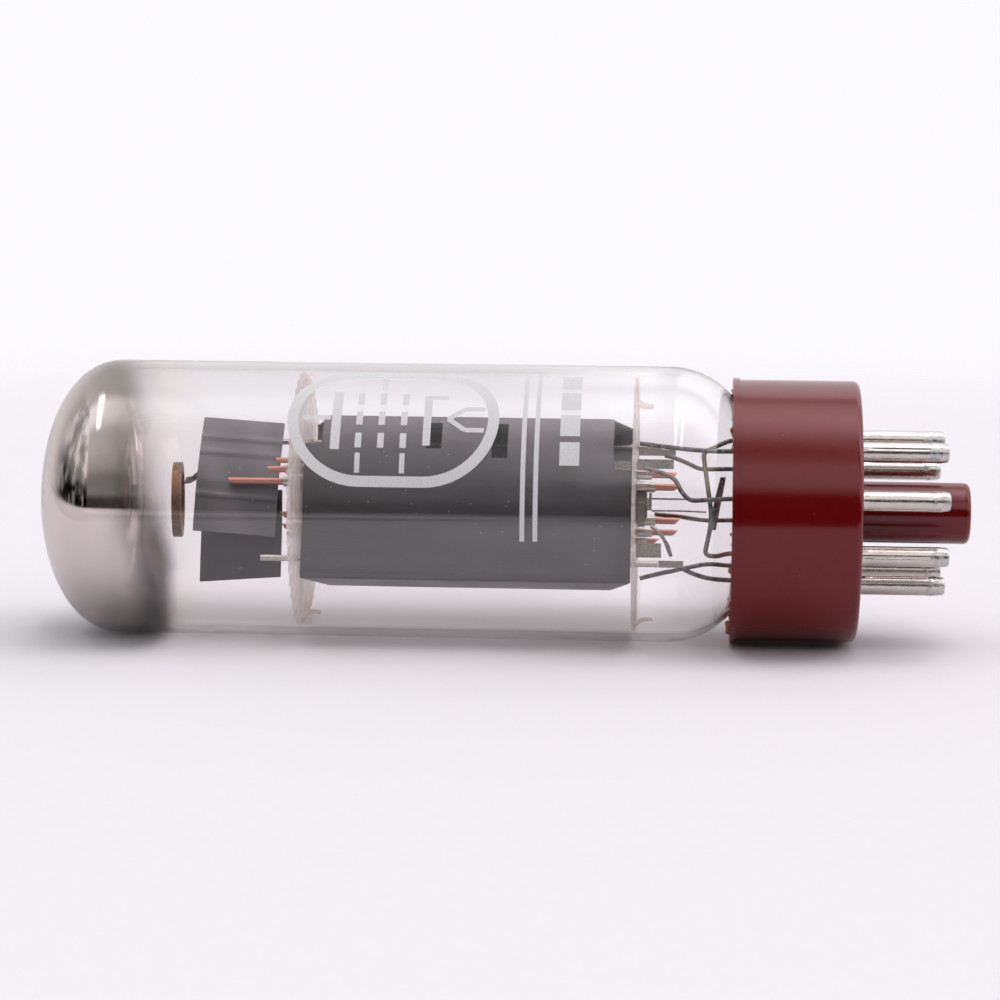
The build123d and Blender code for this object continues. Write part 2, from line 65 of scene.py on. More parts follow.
# ---- dimensions taken from the frame
BULB_LOW, BULB_HIGH = node_box("glass_bulb")
BULB_RADIUS = (BULB_HIGH.z - BULB_LOW.z) / 2
AXIS_Z = (BULB_HIGH.z + BULB_LOW.z) / 2          # height of the bulb's and the assembly's axis
DOME_TIP, NECK_END = BULB_LOW.x, BULB_HIGH.x
FLOOR_Z = min(BULB_LOW.z, node_box("base_shell")[0].z)

BULB_WALL = 1.0
SHOULDER_WALL = 0.5             # the glass thins out as it turns in to the neck
DOME_DEPTH = 9.4
DOME_FULLNESS = 2.15            # power of the dome's superellipse; 2 would be an ellipse
SHOULDER_START = -22.5
SHOULDER_RADIUS = 10.0
NECK_RADIUS = 11.5
PIN_COUNT = 8
PIN_CIRCLE_RADIUS = 8.725
PIN_RADIUS = 1.19
PIN_END = node_box("pin_1")[1].x
SOLDER_LENGTH = 2.1
KEY_ANGLE = 84.3
ASSEMBLY_ROLL = -8.0
SHEET = 0.25                    # thickness of the anode's and the fins' metal
BASE_LIP_X = node_box("base_shell")[0].x
BASE_MOUTH = 14.1                # inner radius of the base at its lip


# ---- mesh helpers
SHARPEST = 38.0                 # edges that turn more than this many degrees are shaded as edges


def finish_mesh(name, mesh_data, smooth=True):
    """Makes an object from a bmesh in millimetres."""
    mesh = bpy.data.meshes.new(name)
    bmesh.ops.recalc_face_normals(mesh_data, faces=mesh_data.faces)
    mesh_data.transform(Matrix.Scale(MM, 4))
    mesh_data.to_mesh(mesh)
    mesh_data.free()
    for face in mesh.polygons:
        face.use_smooth = smooth
    mesh.set_sharp_from_angle(angle=math.radians(SHARPEST))
    made = bpy.data.objects.new(name, mesh)
    bpy.context.scene.collection.objects.link(made)
    return made


def ring_of(shape, x, radius, y, z, segments):
    if radius == 0:
        return [shape.verts.new((x, y, z))]
    ring = []
    for step in range(segments):
        turn = 2 * math.pi * step / segments
        ring.append(shape.verts.new((x, y + radius * math.sin(turn), z + radius * math.cos(turn))))
    return ring


def join_rings(shape, first, second):
    count = max(len(first), len(second))
    for step in range(count):
        after = (step + 1) % count
        if len(first) == 1:
            shape.faces.new((first[0], second[step], second[after]))
        elif len(second) == 1:
            shape.faces.new((first[step], second[0], first[after]))
        else:
            shape.faces.new((first[step], second[step], second[after], first[after]))


def spin(shape, profile, y=0.0, z=0.0, segments=160, closed=False, change=None):
    """Adds a solid of revolution about a line along X, from (x, radius) points.

    closed joins the last ring to the first, and change(point) may move each point.
    """
    rings = [ring_of(shape, x, radius, y, z, segments) for x, radius in profile]
    for first, second in zip(rings, rings[1:]):
        join_rings(shape, first, second)
    if closed:
        join_rings(shape, rings[-1], rings[0])
    if change:
        for vertex in (vertex for ring in rings for vertex in ring):
            vertex.co = change(vertex.co)


def lathe(name, profile, **options):
    shape = bmesh.new()
    spin(shape, profile, **options)
    return finish_mesh(name, shape)


def arc(centre, radius, start, end, count):
    """Points on a circle of the (x, radius) plane; angles from +X towards +radius, in degrees."""
    points = []
    for step in range(count + 1):
        turn = math.radians(start + (end - start) * step / count)
        points.append((centre[0] + radius * math.cos(turn), centre[1] + radius * math.sin(turn)))
    return points


def stretch(start, end, count):
    """Points on a straight line between two (x, radius) points, without the first."""
    return [tuple(a + (b - a) * step / count for a, b in zip(start, end)) for step in range(1, count + 1)]


def corner_arc(before, corner, after, radius, steps=6):
    """Points that round the corner of a (near, up) outline."""
    into = (Vector(before) - Vector(corner)).normalized()
    out = (Vector(after) - Vector(corner)).normalized()
    half = into.angle(out) / 2
    centre = Vector(corner) + (into + out).normalized() * radius / math.sin(half)
    first = Vector(corner) + into * radius / math.tan(half) - centre
    last = Vector(corner) + out * radius / math.tan(half) - centre
    points = []
    for step in range(steps + 1):
        share = step / steps
        points.append(tuple(centre + first.lerp(last, share).normalized() * radius))
    return points


def circle_through(start, middle, end, count):
    """Points of the circular arc through three (near, up) points."""
    (ax, ay), (bx, by), (cx, cy) = start, middle, end
    double = 2 * (ax * (by - cy) + bx * (cy - ay) + cx * (ay - by))
    a2, b2, c2 = ax**2 + ay**2, bx**2 + by**2, cx**2 + cy**2
    centre = Vector((
        (a2 * (by - cy) + b2 * (cy - ay) + c2 * (ay - by)) / double,
        (a2 * (cx - bx) + b2 * (ax - cx) + c2 * (bx - ax)) / double,
    ))
    first, last = Vector(start) - centre, Vector(end) - centre
    turn = first.angle_signed(last)
    points = []
    for step in range(count + 1):
        angle = -turn * step / count
        points.append(tuple(centre + Matrix.Rotation(angle, 2) @ first))
    return points


def fill_in(points, longest):
    """Adds points to a (near, up) outline so that no step is longer than a limit."""
    full = [points[0]]
    for start, end in zip(points, points[1:]):
        count = max(1, math.ceil(math.dist(start, end) / longest))
        full += stretch(start, end, count)
    return full


def cut_at(points, levels):
    """Adds points to a (near, up) outline where it crosses given heights."""
    full = [points[0]]
    for start, end in zip(points, points[1:]):
        rise = end[1] - start[1]
        shares = [(level - start[1]) / rise for level in levels if rise]
        for share in sorted(share for share in shares if 0.02 < share < 0.98):
            full.append((start[0] + (end[0] - start[0]) * share, start[1] + rise * share))
        full.append(end)
    return full


def bent_sheet(name, outline, stations, place, keep=None, trim=None):
    """A metal sheet drawn along X: outline is (near, up) points, stations are X positions.

    keep(x, near, up) drops a panel where it is false, trim(near, up) is how far a row's ends stand
    back, and place(x, near, up) gives the point of the tube.
    """
    shape = bmesh.new()
    grid = []
    first, last = stations[0], stations[-1]
    for near, up in outline:
        back = trim(near, up) if trim else 0.0
        reach = 1 - 2 * back / (last - first)
        along = [first + back + (x - first) * reach for x in stations]
        grid.append([shape.verts.new(place(x, near, up)) for x in along])
    for row in range(len(outline) - 1):
        for column in range(len(stations) - 1):
            middle = (
                (stations[column] + stations[column + 1]) / 2,
                (outline[row][0] + outline[row + 1][0]) / 2,
                (outline[row][1] + outline[row + 1][1]) / 2,
            )
            if keep is None or keep(*middle):
                below, above = grid[row], grid[row + 1]
                shape.faces.new((below[column], below[column + 1], above[column + 1], above[column]))
    loose = [vertex for vertex in shape.verts if not vertex.link_faces]
    bmesh.ops.delete(shape, geom=loose, context="VERTS")
    return thicken(finish_mesh(name, shape), SHEET)


def thicken(thing, thickness):
    """Gives an open sheet its thickness, with the sheet in the middle, and crisp edges."""
    solid = thing.modifiers.new("sheet", "SOLIDIFY")
    solid.thickness = thickness * MM
    solid.offset = 0.0
    bpy.context.view_layer.update()
    whole = thing.evaluated_get(bpy.context.evaluated_depsgraph_get())
    mesh = bpy.data.meshes.new_from_object(whole)
    mesh.set_sharp_from_angle(angle=math.radians(SHARPEST))
    thing.modifiers.clear()
    thing.data = mesh
    return thing


def fill_between(shape, edges):
    """Faces between each pair of points and the next pair."""
    for (a, b), (c, d) in zip(edges, edges[1:]):
        shape.faces.new((a, b, d, c))


def ribbon(name, route, widths, thickness):
    """A flat strip along points of the tube, with its width at each point as a vector."""
    shape = bmesh.new()
    edges = []
    for point, width in zip(route, widths):
        half = Vector(width) / 2
        edges.append((shape.verts.new(Vector(point) - half), shape.verts.new(Vector(point) + half)))
    fill_between(shape, edges)
    return thicken(finish_mesh(name, shape), thickness)


def even_steps(start, end, step, *more):
    """X positions from start to end at about a given step, with some more put in their places."""
    count = max(1, round((end - start) / step))
    places = [start + (end - start) * index / count for index in range(count + 1)]
    for extra in more:
        places = [x for x in places if abs(x - extra) > step * 0.3 or x in (places[0], places[-1])]
        places.append(extra)
    return sorted(places)


def rolled(x, near, up):
    """A point of the electrode assembly as it lies in the tube."""
    turned = Matrix.Rotation(math.radians(ASSEMBLY_ROLL), 3, "X") @ Vector((x, -near, up))
    return turned + Vector((0, 0, AXIS_Z))


# ---- shader helpers
class Nodes:
    """A node tree, built up from small steps."""

    def __init__(self, tree):
        self.tree = tree
        tree.nodes.clear()

    def new(self, kind):
        return self.tree.nodes.new(kind)

    def link(self, source, socket):
        self.tree.links.new(source, socket)

    def fill(self, socket, value):
        if isinstance(value, bpy.types.NodeSocket):
            self.link(value, socket)
        else:
            socket.default_value = value

    def math(self, operation, first, second=0.0):
        step = self.new("ShaderNodeMath")
        step.operation = operation
        self.fill(step.inputs[0], first)
        self.fill(step.inputs[1], second)
        return step.outputs[0]

    def times(self, first, second):
        return self.math("MULTIPLY", first, second)

    def lerp(self, amount, first, second):
        rest = self.math("SUBTRACT", 1.0, amount)
        return self.math("ADD", self.times(rest, first), self.times(amount, second))

    def span(self, value, low, high, to_low=0.0, to_high=1.0):
        """A value's place between two limits, eased, as a number between two others."""
        step = self.new("ShaderNodeMapRange")
        step.interpolation_type = "SMOOTHSTEP"
        self.fill(step.inputs["Value"], value)
        limits = {"From Min": low, "From Max": high, "To Min": to_low, "To Max": to_high}
        for name, number in limits.items():
            step.inputs[name].default_value = number
        return step.outputs["Result"]


class Shader(Nodes):
    """A material's node tree."""

    def __init__(self, name):
        self.material = bpy.data.materials.new(name)
        self.material.use_nodes = True
        super().__init__(self.material.node_tree)
        self.output = self.new("ShaderNodeOutputMaterial")
        self.place = self.new("ShaderNodeTexCoord").outputs["Object"]

    def scaled_place(self, scale):
        """Object coordinates in millimetres, stretched by a factor along each axis."""
        step = self.new("ShaderNodeMapping")
        step.inputs["Scale"].default_value = [factor / MM for factor in scale]
        self.link(self.place, step.inputs["Vector"])
        return step.outputs[0]

    def noise(self, size, detail=3.0, rough=0.5, grain=(1, 1, 1)):
        """Noise with features about size millimetres across; grain above 1 packs them along that axis."""
        step = self.new("ShaderNodeTexNoise")
        step.inputs["Scale"].default_value = 1 / size
        step.inputs["Detail"].default_value = detail
        step.inputs["Roughness"].default_value = rough
        self.link(self.scaled_place(grain), step.inputs["Vector"])
        return step.outputs["Fac"]

    def specks(self, size, amount):
        """1 inside a share of small round cells, 0 elsewhere."""
        step = self.new("ShaderNodeTexVoronoi")
        step.inputs["Scale"].default_value = 1 / size
        self.link(self.scaled_place((1, 1, 1)), step.inputs["Vector"])
        near = self.math("LESS_THAN", step.outputs["Distance"], 0.28)
        chosen = self.new("ShaderNodeSeparateColor")
        self.link(step.outputs["Color"], chosen.inputs[0])
        rare = self.math("LESS_THAN", chosen.outputs[0], amount)
        return self.times(near, rare)

    def axis(self, index):
        """One object coordinate, in millimetres."""
        step = self.new("ShaderNodeSeparateXYZ")
        self.link(self.scaled_place((1, 1, 1)), step.inputs[0])
        return step.outputs[index]

    def blend(self, amount, first, second):
        step = self.new("ShaderNodeMix")
        step.data_type = "RGBA"
        self.fill(step.inputs[0], amount)
        self.fill(step.inputs[6], rgba(first))
        self.fill(step.inputs[7], rgba(second))
        return step.outputs[2]

    def bump(self, height, depth):
        """Normal from a height of 0 to 1 that stands for depth millimetres."""
        step = self.new("ShaderNodeBump")
        step.inputs["Distance"].default_value = depth * MM
        step.inputs["Strength"].default_value = 1.0
        self.link(height, step.inputs["Height"])
        return step.outputs[0]

    def principled(self, **values):
        step = self.new("ShaderNodeBsdfPrincipled")
        for name, value in values.items():
            socket = step.inputs[name.replace("_", " ").title().replace("Ior", "IOR")]
            self.fill(socket, rgba(value) if socket.type == "RGBA" else value)
        return step.outputs[0]

    def transparent(self, colour=(1, 1, 1)):
        step = self.new("ShaderNodeBsdfTransparent")
        self.fill(step.inputs[0], rgba(colour))
        return step.outputs[0]

    def translucent(self, colour):
        step = self.new("ShaderNodeBsdfTranslucent")
        self.fill(step.inputs[0], rgba(colour))
        return step.outputs[0]

    def mix(self, amount, first, second):
        step = self.new("ShaderNodeMixShader")
        self.fill(step.inputs[0], amount)
        self.link(first, step.inputs[1])
        self.link(second, step.inputs[2])
        return step.outputs[0]

    def done(self, surface):
        self.link(surface, self.output.inputs["Surface"])
        return self.material

    def surface(self, **values):
        """Ends the material with one principled surface."""
        return self.done(self.principled(**values))


def rgba(colour):
    """A socket as it is, and three numbers as an opaque colour."""
    return colour if isinstance(colour, bpy.types.NodeSocket) else (*colour, 1.0)


# ---- materials
def clear_glass():
    """Clear drawn glass, a little wavy; shadow and diffuse rays pass it unbent, with a slight loss."""
    shader = Shader("clear_glass")
    waves = shader.noise(9.0, detail=1.0, grain=(0.35, 1, 1))
    body = shader.principled(
        base_color=(0.955, 0.942, 0.945),
        roughness=0.0,
        ior=1.48,
        transmission_weight=1.0,
        normal=shader.bump(waves, 0.03),
    )
    path = shader.new("ShaderNodeLightPath").outputs
    unbent = shader.math("MAXIMUM", path["Is Shadow Ray"], path["Is Diffuse Ray"])
    return shader.done(shader.mix(unbent, body, shader.transparent((0.99, 0.985, 0.98))))


def stem_glass():
    """Streaky pressed glass; shadow rays pass it unbent, with some loss."""
    shader = Shader("stem_glass")
    streaks = shader.noise(2.5, detail=2.0)
    body = shader.principled(
        base_color=shader.blend(streaks, (0.80, 0.84, 0.82), (0.92, 0.95, 0.93)),
        roughness=0.05,
        ior=1.5,
        transmission_weight=1.0,
        normal=shader.bump(streaks, 0.08),
    )
    unbent = shader.new("ShaderNodeLightPath").outputs["Is Shadow Ray"]
    return shader.done(shader.mix(unbent, body, shader.transparent((0.85, 0.86, 0.85))))


FILM_EDGE = -84.8
FILM_END = -78.5                # where the film's skin stops, past its last trace of haze
FILM_LEAN_UP = 0.11             # how far the edge leans to the dome for each millimetre up
FILM_LEAN_BACK = 0.14           # and for each millimetre away from the viewer


def getter_mirror():
    """Bright metal film that thins out to a smoky edge away from the dome, with a faint haze; the smoky
    edge is the film thinning, and its darkening towards the bottom is painted shade.
    """
    shader = Shader("getter_mirror")
    along = shader.axis(0)
    height = shader.axis(2)
    lean_up = shader.times(height, FILM_LEAN_UP)
    lean_back = shader.times(shader.axis(1), FILM_LEAN_BACK)
    lean = shader.math("ADD", lean_up, lean_back)
    wander = shader.times(shader.math("SUBTRACT", shader.noise(8.0, detail=2.0), 0.5), 1.6)
    reach = shader.math("SUBTRACT", shader.math("ADD", along, lean), wander)
    sharp = shader.span(reach, FILM_EDGE - 2.0, FILM_EDGE + 1.6, 1.0, 0.0)
    gradual = shader.span(reach, FILM_EDGE - 6.5, FILM_EDGE + 1.2, 1.0, 0.0)
    cover = shader.lerp(shader.span(height, -11.0, 1.0), sharp, gradual)
    smoke = shader.span(reach, FILM_EDGE - 4.4, FILM_EDGE - 0.4)
    tarnish = shader.noise(2.2, detail=4.0, grain=(1, 0.5, 0.5))
    silver = shader.blend(tarnish, (0.62, 0.555, 0.525), (0.70, 0.64, 0.61))
    # painted shade: the smoky edge's colour darkens towards the bottom, standing for the floor's dark
    # contact shadow reflected in the film
    edge = shader.blend(shader.span(height, -6.0, 4.0), (0.22, 0.20, 0.21), (0.55, 0.49, 0.45))
    film = shader.principled(
        base_color=shader.blend(smoke, silver, edge),
        metallic=1.0,
        roughness=shader.span(tarnish, 0.3, 0.7, 0.02, 0.07),
        normal=shader.bump(shader.noise(3.5, detail=2.0), 0.010),
    )
    thinning = shader.span(reach, FILM_EDGE, FILM_EDGE + 4.0)
    tint = shader.blend(thinning, (0.95, 0.94, 0.935), (0.995, 0.99, 0.98))
    clear = shader.span(along, FILM_END - 2.5, FILM_END - 0.3)
    haze = shader.transparent(shader.blend(clear, tint, (1, 1, 1)))
    return shader.done(shader.mix(cover, haze, film))


def maroon_phenolic():
    """Moulded phenolic: deep maroon with a fine mottle and a clear, slightly uneven gloss."""
    shader = Shader("maroon_phenolic")
    mottle = shader.noise(0.9, detail=5.0, rough=0.65)
    drift = shader.noise(12.0, detail=2.0)
    colour = shader.blend(mottle, (0.112, 0.0008, 0.0012), (0.138, 0.0020, 0.0025))
    colour = shader.blend(shader.times(drift, 0.35), colour, (0.092, 0.0008, 0.001))
    dust = shader.specks(0.3, 0.003)
    colour = shader.blend(shader.times(dust, 0.3), colour, (0.40, 0.16, 0.12))
    ripple = shader.noise(0.5, detail=4.0, rough=0.65)
    return shader.surface(
        base_color=colour,
        roughness=shader.span(mottle, 0.25, 0.75, 0.11, 0.17),
        specular_ior_level=0.58,
        specular_tint=(1.0, 0.70, 0.74),
        normal=shader.bump(ripple, 0.005),
    )


def grained(name, grain, low, high, roughness, relief, metallic=0.0):
    """A surface whose colour, gloss and relief all follow one grain."""
    shader = Shader(name)
    pattern = shader.noise(**grain)
    return shader.surface(
        base_color=shader.blend(pattern, low, high),
        metallic=metallic,
        roughness=shader.span(pattern, 0.3, 0.7, *roughness),
        normal=shader.bump(pattern, relief),
    )


def brown_cement():
    lumps = dict(size=0.35, detail=5.0, rough=0.7)
    return grained("brown_cement", lumps, (0.20, 0.07, 0.02), (0.48, 0.22, 0.07), (0.75, 0.75), 0.12)


def solder():
    facets = dict(size=0.45, detail=3.0, rough=0.6)
    return grained("solder", facets, (0.36, 0.35, 0.34), (0.70, 0.68, 0.66), (0.18, 0.38), 0.06, 1.0)


def copper_rod():
    stains = dict(size=0.8, detail=4.0, grain=(0.3, 1, 1))
    return grained("copper_rod", stains, (0.50, 0.20, 0.15), (0.74, 0.36, 0.29), (0.34, 0.5), 0.02, 0.9)


def cathode_coating():
    flakes = dict(size=0.3, detail=4.0, rough=0.7)
    return grained("cathode_coating", flakes, (0.40, 0.37, 0.33), (0.66, 0.62, 0.56), (0.6, 0.6), 0.04, 0.3)


def heater_coating():
    chalk = dict(size=0.2, detail=4.0)
    return grained("heater_coating", chalk, (0.75, 0.74, 0.71), (0.92, 0.91, 0.88), (0.85, 0.85), 0.03)


def plated_nickel(name, low, high, roughness, scratch_axis=(0.15, 1, 1)):
    """Drawn or plated nickel with fine lengthwise marks and a little staining."""
    shader = Shader(name)
    marks = shader.noise(0.12, detail=3.0, grain=scratch_axis)
    stains = shader.noise(1.6, detail=4.0, rough=0.6)
    colour = shader.blend(stains, low, high)
    return shader.surface(
        base_color=colour,
        metallic=1.0,
        roughness=shader.span(marks, 0.2, 0.8, roughness * 0.75, roughness * 1.35),
        normal=shader.bump(marks, 0.004),
    )


def carbonised_sheet():
    """Blackened steel sheet: satin dark grey, with rolling streaks, dust and a few rubbed marks."""
    shader = Shader("carbonised_sheet")
    streaks = shader.noise(0.5, detail=4.0, rough=0.6, grain=(0.05, 1, 1))
    cloud = shader.noise(6.0, detail=3.0)
    tone = shader.blend(streaks, (0.094, 0.086, 0.092), (0.148, 0.135, 0.145))
    tone = shader.blend(shader.times(cloud, 0.4), tone, (0.100, 0.092, 0.098))
    dust = shader.specks(0.32, 0.014)
    tone = shader.blend(shader.times(dust, 0.5), tone, (0.60, 0.57, 0.54))
    return shader.surface(
        base_color=tone,
        metallic=0.85,
        roughness=shader.span(cloud, 0.3, 0.7, 0.34, 0.42),
        normal=shader.bump(streaks, 0.0012),
    )


def oxidised_wire(name, bare, scale, brown, brown_share):
    """Dark oxide on a wire, mottled along its length, with brown stretches."""
    shader = Shader(name)
    patches = shader.noise(0.55, detail=5.0, rough=0.7)
    stretches = shader.span(shader.noise(3.2, detail=1.0), brown_share, brown_share + 0.12)
    colour = shader.blend(shader.span(patches, 0.35, 0.65), scale, bare)
    colour = shader.blend(shader.times(stretches, 0.8), colour, brown)
    return shader.surface(
        base_color=colour,
        metallic=0.65,
        roughness=shader.span(patches, 0.3, 0.7, 0.38, 0.6),
        normal=shader.bump(patches, 0.035),
    )


def mica_sheet():
    """Translucent layered mica, pinkish, with pale flaws and a brown stain low on the near side."""
    shader = Shader("mica_sheet")
    layers = shader.noise(0.9, detail=5.0, rough=0.65, grain=(1, 0.6, 0.12))
    flaws = shader.noise(2.6, detail=4.0, rough=0.7)
    colour = shader.blend(layers, (0.80, 0.68, 0.64), (0.97, 0.92, 0.91))
    colour = shader.blend(shader.span(flaws, 0.52, 0.72), colour, (0.95, 0.93, 0.93))
    low = shader.span(shader.axis(2), -15.5, -9.5, 1.0, 0.0)
    rim = shader.span(shader.noise(1.4, detail=3.0), 0.42, 0.62)
    colour = shader.blend(shader.times(low, rim), colour, (0.62, 0.33, 0.15))
    sheet = shader.principled(
        base_color=colour,
        roughness=shader.span(layers, 0.3, 0.7, 0.22, 0.42),
        normal=shader.bump(layers, 0.04),
    )
    body = shader.mix(0.68, sheet, shader.translucent(colour))
    clear = shader.span(flaws, 0.35, 0.7, 0.52, 0.72)
    return shader.done(shader.mix(clear, shader.transparent(), body))


def white_print():
    """Fired white enamel, thin enough to show pinholes and lose some light."""
    shader = Shader("white_print")
    pinholes = shader.noise(0.16, detail=3.0, rough=0.6)
    ink = shader.principled(
        base_color=shader.blend(pinholes, (0.78, 0.78, 0.79), (0.90, 0.90, 0.91)),
        roughness=0.55,
        normal=shader.bump(pinholes, 0.01),
    )
    body = shader.mix(0.35, ink, shader.translucent((0.92, 0.92, 0.93)))
    cover = shader.span(pinholes, 0.30, 0.42, 0.62, 0.94)
    return shader.done(shader.mix(cover, shader.transparent(), body))


def floor_paper():
    """Pale matt paper that fades into the backdrop far from the tube."""
    shader = Shader("floor_paper")
    tooth = shader.noise(1.5, detail=3.0)
    paper = shader.principled(
        base_color=shader.blend(tooth, (0.722, 0.703, 0.735), (0.737, 0.718, 0.750)),
        roughness=0.9,
        specular_ior_level=0.1,
    )
    aside = shader.math("POWER", shader.math("SUBTRACT", shader.axis(0), FLOOR_MIDDLE), 2.0)
    beyond = shader.math("POWER", shader.axis(1), 2.0)
    away = shader.math("SQRT", shader.math("ADD", aside, beyond))
    return shader.done(shader.mix(shader.span(away, *FLOOR_FADE), paper, shader.transparent()))


MATERIALS = {
    "clear_glass": clear_glass(),
    "stem_glass": stem_glass(),
    "getter_mirror": getter_mirror(),
    "maroon_phenolic": maroon_phenolic(),
    "brown_cement": brown_cement(),
    "nickel_plate": plated_nickel("nickel_plate", (0.50, 0.445, 0.41), (0.70, 0.65, 0.615), 0.22),
    "nickel": plated_nickel("nickel", (0.46, 0.41, 0.37), (0.72, 0.67, 0.62), 0.28),
    "grid_wire": plated_nickel("grid_wire", (0.40, 0.39, 0.37), (0.55, 0.53, 0.50), 0.25),
    "getter_metal": oxidised_wire(
        "getter_metal", (0.30, 0.17, 0.11), (0.13, 0.08, 0.05), (0.24, 0.11, 0.06), 0.5,
    ),
    "oxidised_wire": oxidised_wire(
        "oxidised_wire", (0.30, 0.29, 0.29), (0.085, 0.08, 0.08), (0.28, 0.17, 0.11), 0.52,
    ),
    "solder": solder(),
    "carbonised_sheet": carbonised_sheet(),
    "copper_rod": copper_rod(),
    "cathode_nickel": cathode_coating(),
    "heater_coating": heater_coating(),
    "mica_sheet": mica_sheet(),
    "white_print": white_print(),
}


def dress(thing, slot):
    """Gives an object the one material that goes with a slot."""
    thing.data.materials.clear()
    thing.data.materials.append(MATERIALS[slot])


def piece(thing, slot, *stands_for):
    """Gives a piece made here its finish, hangs it on the root body and hides the CAD nodes that it stands
    for.
    """
    dress(thing, slot)
    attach(thing, "root")
    if stands_for:
        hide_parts(*stands_for)


# ---- glass
def dome_profile(inset, steps=48):
    """(x, radius) from the dome's tip to the cylinder: a superellipse, moved in along its normals."""
    power = 2 / DOME_FULLNESS
    points = []
    for step in range(steps + 1):
        turn = math.pi / 2 * step / steps
        along, across = max(math.cos(turn), 0.0) ** power, math.sin(turn) ** power
        slope = DOME_FULLNESS - 1
        normal = Vector((-(along**slope) / DOME_DEPTH, across**slope / BULB_RADIUS)).normalized()
        points.append((
            DOME_TIP + DOME_DEPTH * (1 - along) - inset * normal.x,
            BULB_RADIUS * across - inset * normal.y,
        ))
    points[0] = (points[0][0], 0)
    return points


def bulb_profile(inset, neck_inset):
    """(x, radius) from the dome's tip to the neck's end; the wall may change as the shoulder turns in."""
    profile = dome_profile(inset)
    profile += stretch(profile[-1], (SHOULDER_START, BULB_RADIUS - inset), 30)
    centre_radius = BULB_RADIUS - SHOULDER_RADIUS
    end_turn = math.acos((NECK_RADIUS - centre_radius) / SHOULDER_RADIUS)
    steps = 24
    for step in range(1, steps + 1):
        turn = end_turn * step / steps
        radius = SHOULDER_RADIUS - inset - (neck_inset - inset) * step / steps
        profile.append((SHOULDER_START + radius * math.sin(turn), centre_radius + radius * math.cos(turn)))
    return profile + [(NECK_END, profile[-1][1])]


def glass_envelope():
    outer = bulb_profile(0.0, 0.0)
    inner = bulb_profile(BULB_WALL, SHOULDER_WALL)
    made = lathe("glass_envelope", outer + inner[::-1], z=AXIS_Z, segments=192)
    piece(made, "clear_glass", "glass_bulb")


def getter_film():
    """Thin closed skin sunk into the glass's inner face, from the dome's tip past the smoky edge."""
    depth, film = 0.03, 0.02
    outer = dome_profile(BULB_WALL - depth)
    outer += stretch(outer[-1], (FILM_END, BULB_RADIUS - BULB_WALL + depth), 12)
    inner = dome_profile(BULB_WALL - depth + film)
    inner += stretch(inner[-1], (FILM_END, BULB_RADIUS - BULB_WALL + depth - film), 12)
    made = lathe("getter_film", outer + inner[::-1], z=AXIS_Z, segments=160)
    piece(made, "getter_mirror", "getter_flash")


# A plain drawing in white on the glass: the symbol of such a tube in a rounded frame, and two rules.
# Points are (x, up round the glass from the near horizontal), with the tube's dome end as the top.
PRINT_MIDDLE = Vector((-54.4, 12.4))
PRINT_RADIUS = BULB_RADIUS + 0.02


def on_glass(x, up):
    turn = up / PRINT_RADIUS
    return (x, -PRINT_RADIUS * math.cos(turn), AXIS_Z + PRINT_RADIUS * math.sin(turn))


def stroke(shape, points, width, closed=False):
    """One printed line, as a strip that follows the glass."""
    spots = [Vector(point) for point in fill_in(points, 0.7)]
    if closed:
        spots.pop()
    edges = []
    for index, spot in enumerate(spots):
        before = spots[index - 1] if closed or index else spot
        after = spots[(index + 1) % len(spots)] if closed or index + 1 < len(spots) else spot
        ahead = (after - before).normalized()
        aside = Vector((-ahead.y, ahead.x)) * width / 2
        edges.append([shape.verts.new(on_glass(*side)) for side in (spot - aside, spot + aside)])
    if closed:
        edges.append(edges[0])
    fill_between(shape, edges)


def print_frame(shape):
    length, width = 23.4, 16.0
    bend = width / 2
    half = length / 2 - bend
    middle_x, middle_up = PRINT_MIDDLE
    ring = arc((middle_x + half, middle_up), bend, 90, -90, 24)
    ring += arc((middle_x - half, middle_up), bend, 270, 90, 24)
    stroke(shape, ring + [ring[0]], 1.3, closed=True)


def print_symbol(shape):
    """Plate, three dashed grids, cathode and heater."""
    def line(start, end, width=0.6):
        stroke(shape, [tuple(PRINT_MIDDLE + Vector(start)), tuple(PRINT_MIDDLE + Vector(end))], width)

    line((-6.6, -4.2), (-6.6, 4.2), 1.1)
    line((-10.6, 0), (-7.3, 0))
    for place, side in ((-3.9, -1), (-1.3, 1), (1.3, -1)):
        for dash in (-1, 0, 1):
            line((place, dash * 3.0 - 0.95), (place, dash * 3.0 + 0.95), 0.75)
        line((place, side * 4.6), (place, side * 7.0))
    line((4.0, -3.6), (4.0, 3.6), 0.9)
    line((4.3, 3.3), (6.3, 3.3))
    for side in (-1, 1):
        line((6.4, 0), (8.4, side * 1.5))
        line((8.4, side * 1.5), (10.6, side * 1.5))


def print_rules(shape):
    """Two thin rules and a thick broken one, running round the glass."""
    for x in (-39.1, -37.6):
        stroke(shape, [(x, -2.3), (x, 21.0)], 0.55)
    for block in range(4):
        low = 6.6 + 3.7 * block
        stroke(shape, [(-33.8, low), (-33.8, low + 2.9)], 2.3)


def glass_print():
    shape = bmesh.new()
    print_frame(shape)
    print_symbol(shape)
    print_rules(shape)
    made = thicken(finish_mesh("glass_print", shape), 0.02)
    dress(made, "white_print")
    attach(made, "root")


